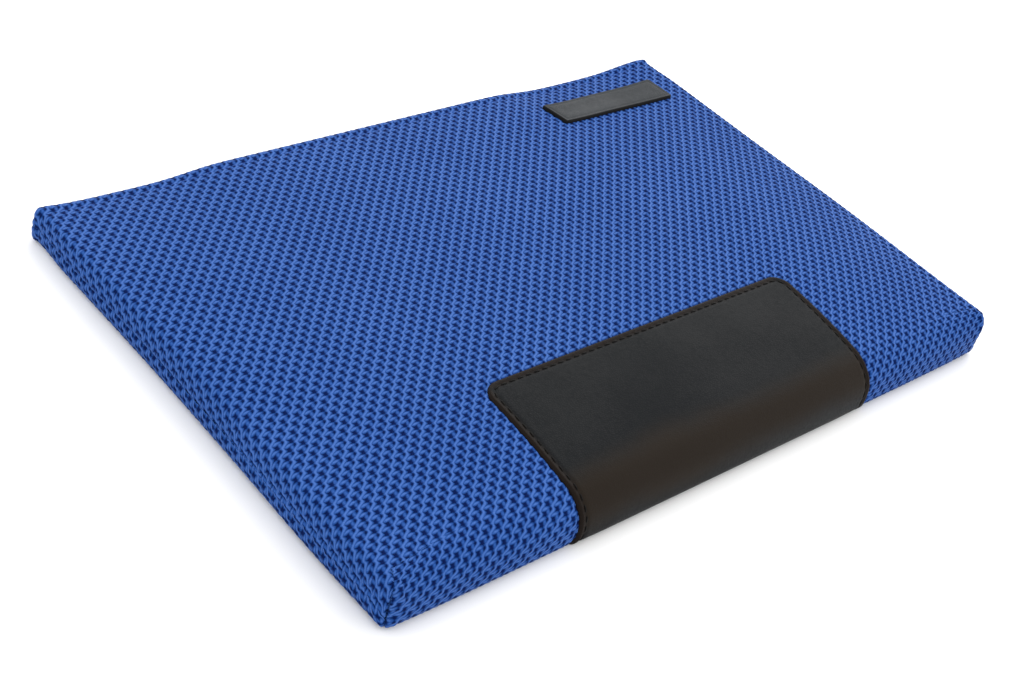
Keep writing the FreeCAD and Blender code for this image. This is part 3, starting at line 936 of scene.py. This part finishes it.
def leather_finish(name, dark, light, rim, rim_width, half_sizes, roughness, grain, painted_sheen=None):
    """Fine-grained leather, with another tone along its cut edge and, where the last argument is given, a
    painted sheen: a warm brown reflection painted in a band across the bend.

    The last argument gives the painted sheen's place and width along the cloth, and its colour.
    """
    finish = Finish(name)
    pebbles = finish.cells(grain)
    creases = finish.noise(420.0, detail=6.0, roughness=0.62)
    broad = finish.noise(22.0, detail=4.0, roughness=0.5)
    share = (broad * 0.6 + creases * 0.25 + pebbles.range(0.0, 0.25) * 0.15).range(0.3, 0.72)
    face = finish.colours(share, (0.0, dark), (1.0, light))
    u, v = finish.cloth()
    from_side = u.math("ABSOLUTE") * -1 + half_sizes[0]
    from_end = v.math("ABSOLUTE") * -1 + half_sizes[1]
    on_face = from_side.math("MINIMUM", from_end).range(0.4 * rim_width, rim_width)
    # Painted sheen: a warm brown reflection painted in a band across the fold, over the leather's own tone.
    if painted_sheen is not None:
        place, width, sheen_colour = painted_sheen
        off_sheen = (v - place).math("ABSOLUTE") + (broad - 0.5) * width
        face = finish.blend(off_sheen.range(0.2 * width, width), sheen_colour, face)
    finish.link("Base Color", finish.blend(on_face, rim, face))
    finish.link("Roughness", share.range(0.0, 1.0, to_low=roughness + 0.08, to_high=roughness - 0.05))
    fine = finish.bump(pebbles.range(0.0, 0.3), distance=0.06 * MM, strength=0.5)
    finish.link("Normal", finish.bump(creases, distance=0.14 * MM, strength=0.5, below=fine))
    finish.set(Specular_IOR_Level=0.06)
    return finish.material


def thread_finish(name, dark, light):
    finish = Finish(name)
    fibres = finish.noise(3000.0, detail=2.0, roughness=0.6)
    finish.link("Base Color", finish.colours(fibres.range(0.3, 0.7), (0.0, dark), (1.0, light)))
    finish.link("Roughness", fibres.range(0.2, 0.8, to_low=0.42, to_high=0.6))
    finish.link("Normal", finish.bump(fibres, distance=0.08 * MM, strength=0.6))
    finish.set(Specular_IOR_Level=0.08)
    return finish.material


def plain_cloth_finish(name, dark, light, pitch):
    """Fine plain weave for the lining, tape and other hidden cloth."""
    finish = Finish(name)
    place = finish.place()
    split = finish.tree.nodes.new("ShaderNodeSeparateXYZ")
    finish.tree.links.new(place.socket, split.inputs[0])
    waves = [Field(finish.tree, split.outputs[i]) * (2 * math.pi / pitch) for i in (0, 1)]
    weave = waves[0].math("SINE") * waves[1].math("SINE")
    pile = finish.noise(1500.0, detail=3.0, roughness=0.6)
    tone = (weave * 0.25 + pile).range(0.1, 0.9)
    finish.link("Base Color", finish.colours(tone, (0.0, dark), (1.0, light)))
    finish.link("Roughness", pile.range(0.2, 0.8, to_low=0.8, to_high=0.95))
    finish.link("Normal", finish.bump(tone, distance=0.12 * MM, strength=0.6))
    finish.set(Sheen_Weight=0.3)
    return finish.material


def foam_finish():
    finish = Finish("closed_cell_foam")
    pores = finish.cells(1400.0)
    share = pores.range(0.0, 0.35)
    colour = finish.colours(share, (0.0, (0.012, 0.012, 0.013)), (1.0, (0.04, 0.04, 0.043)))
    finish.link("Base Color", colour)
    finish.link("Roughness", share.range(0.0, 1.0, to_low=0.95, to_high=0.8))
    finish.link("Normal", finish.bump(share, distance=0.1 * MM, strength=0.5))
    return finish.material


def plastic_finish():
    finish = Finish("stiffener_plastic")
    haze = finish.noise(600.0, detail=4.0, roughness=0.6)
    colour = finish.colours(haze.range(0.3, 0.7), (0.0, (0.56, 0.56, 0.54)), (1.0, (0.66, 0.66, 0.64)))
    finish.link("Base Color", colour)
    finish.link("Roughness", haze.range(0.3, 0.7, to_low=0.38, to_high=0.5))
    finish.link("Normal", finish.bump(haze, distance=0.02 * MM, strength=0.4))
    return finish.material


def put(material, *pieces):
    for piece in pieces:
        piece.data.materials.clear()
        piece.data.materials.append(material)


# ---------------------------------------------------------------- stage

CAMERA_PLACE = (-0.4523, -0.3371, 0.4043)
CAMERA_TILT = (51.38, -14.72, -41.43)
CAMERA_LENS = 62.91
SENSOR_WIDTH = 36
FLOOR_HALF = 6.0
KEY_PLACE = (0.8, 0.5, 0.95)
KEY_SIZE = (1.6, 1.2)
KEY_POWER = 8
SKY_STRENGTH = 1.5


def make_camera():
    data = bpy.data.cameras.new("camera")
    data.lens = CAMERA_LENS
    data.sensor_width = SENSOR_WIDTH
    camera = bpy.data.objects.new("camera", data)
    camera.location = CAMERA_PLACE
    camera.rotation_euler = [math.radians(angle) for angle in CAMERA_TILT]
    bpy.context.scene.collection.objects.link(camera)
    bpy.context.scene.camera = camera


def make_floor():
    """A plain pale sweep of floor."""
    corners = [(x * FLOOR_HALF, y * FLOOR_HALF, 0) for x, y in ((-1, -1), (1, -1), (1, 1), (-1, 1))]
    floor = make_mesh("floor", corners, [[0, 1, 2, 3]])
    finish = Finish("pale_floor")
    speckle = finish.noise(40.0)
    finish.link("Base Color", finish.colours(speckle, (0.0, (0.86, 0.86, 0.86)), (1.0, (0.9, 0.9, 0.9))))
    finish.set(Roughness=0.9, Specular_IOR_Level=0.1)
    put(finish.material, floor)


def make_softbox():
    """A large soft light from behind on the right, aimed at the middle of the sleeve."""
    data = bpy.data.lights.new("key", "AREA")
    data.shape = "RECTANGLE"
    data.size, data.size_y = KEY_SIZE
    data.energy = KEY_POWER
    light = bpy.data.objects.new("key", data)
    light.location = KEY_PLACE
    light.rotation_euler = (-Vector(KEY_PLACE)).to_track_quat("-Z", "Y").to_euler()
    bpy.context.scene.collection.objects.link(light)


def make_sky():
    """Even white light from all round."""
    world = bpy.data.worlds.new("studio")
    world.use_nodes = True
    background = world.node_tree.nodes["Background"]
    background.inputs["Color"].default_value = (1, 1, 1, 1)
    background.inputs["Strength"].default_value = SKY_STRENGTH
    bpy.context.scene.world = world
    bpy.context.scene.view_settings.view_transform = "Standard"


# ---------------------------------------------------------------- making

make_camera()
make_floor()
make_softbox()
make_sky()

wrap = Wrap(TOP_STEP, UNDER_STEP)
nylon = make_nylon(wrap)
patch = make_patch(wrap)
patch_thread = make_patch_thread(wrap)
label = make_label(wrap)
label_thread = make_label_thread(wrap)
hem_thread = make_hem_thread(wrap)
foam = make_foam(wrap)
plate = make_plate(wrap)
lining = make_lining()

put(nylon_finish(), nylon)
# The black leather's brown band across the fold is painted sheen.
black_leather = leather_finish(
    "black_leather", dark=(0.003, 0.004, 0.005), light=(0.0072, 0.0078, 0.0086),
    rim=(0.0085, 0.0055, 0.004), rim_width=4.0 * MM, half_sizes=(PATCH_HALF, patch_span(wrap)[1]),
    roughness=0.46, grain=1100.0, painted_sheen=(-10 * MM, 15 * MM, (0.0135, 0.0096, 0.0066)))
put(black_leather, patch)
grey_leather = leather_finish(
    "grey_leather", dark=(0.027, 0.030, 0.033), light=(0.050, 0.053, 0.057),
    rim=(0.003, 0.003, 0.0035), rim_width=0.75 * MM, half_sizes=label_span(wrap)[1],
    roughness=0.5, grain=1500.0)
put(grey_leather, label)
black_thread = thread_finish("black_thread", (0.0012, 0.0011, 0.001), (0.005, 0.0045, 0.004))
blue_thread = thread_finish("blue_thread", (0.01, 0.03, 0.16), (0.04, 0.1, 0.36))
put(black_thread, patch_thread, label_thread)
tape_finish = plain_cloth_finish("binding_tape", (0.008, 0.008, 0.009), (0.03, 0.03, 0.032), 0.6 * MM)
put(plain_cloth_finish("lining_cloth", (0.03, 0.031, 0.034), (0.085, 0.088, 0.095), 0.5 * MM), lining)
put(foam_finish(), foam)
put(plastic_finish(), plate)
put(blue_thread, hem_thread)
for side_name in ("left", "right"):
    put(blue_thread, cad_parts[side_name + "_side_seam_stitching"])
    put(blue_thread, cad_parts[side_name + "_corner_stitching"])
    put(tape_finish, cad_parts[side_name + "_seam_binding"])

for piece in (nylon, patch, patch_thread, label, label_thread, hem_thread, foam, plate, lining):
    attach(piece, "root")
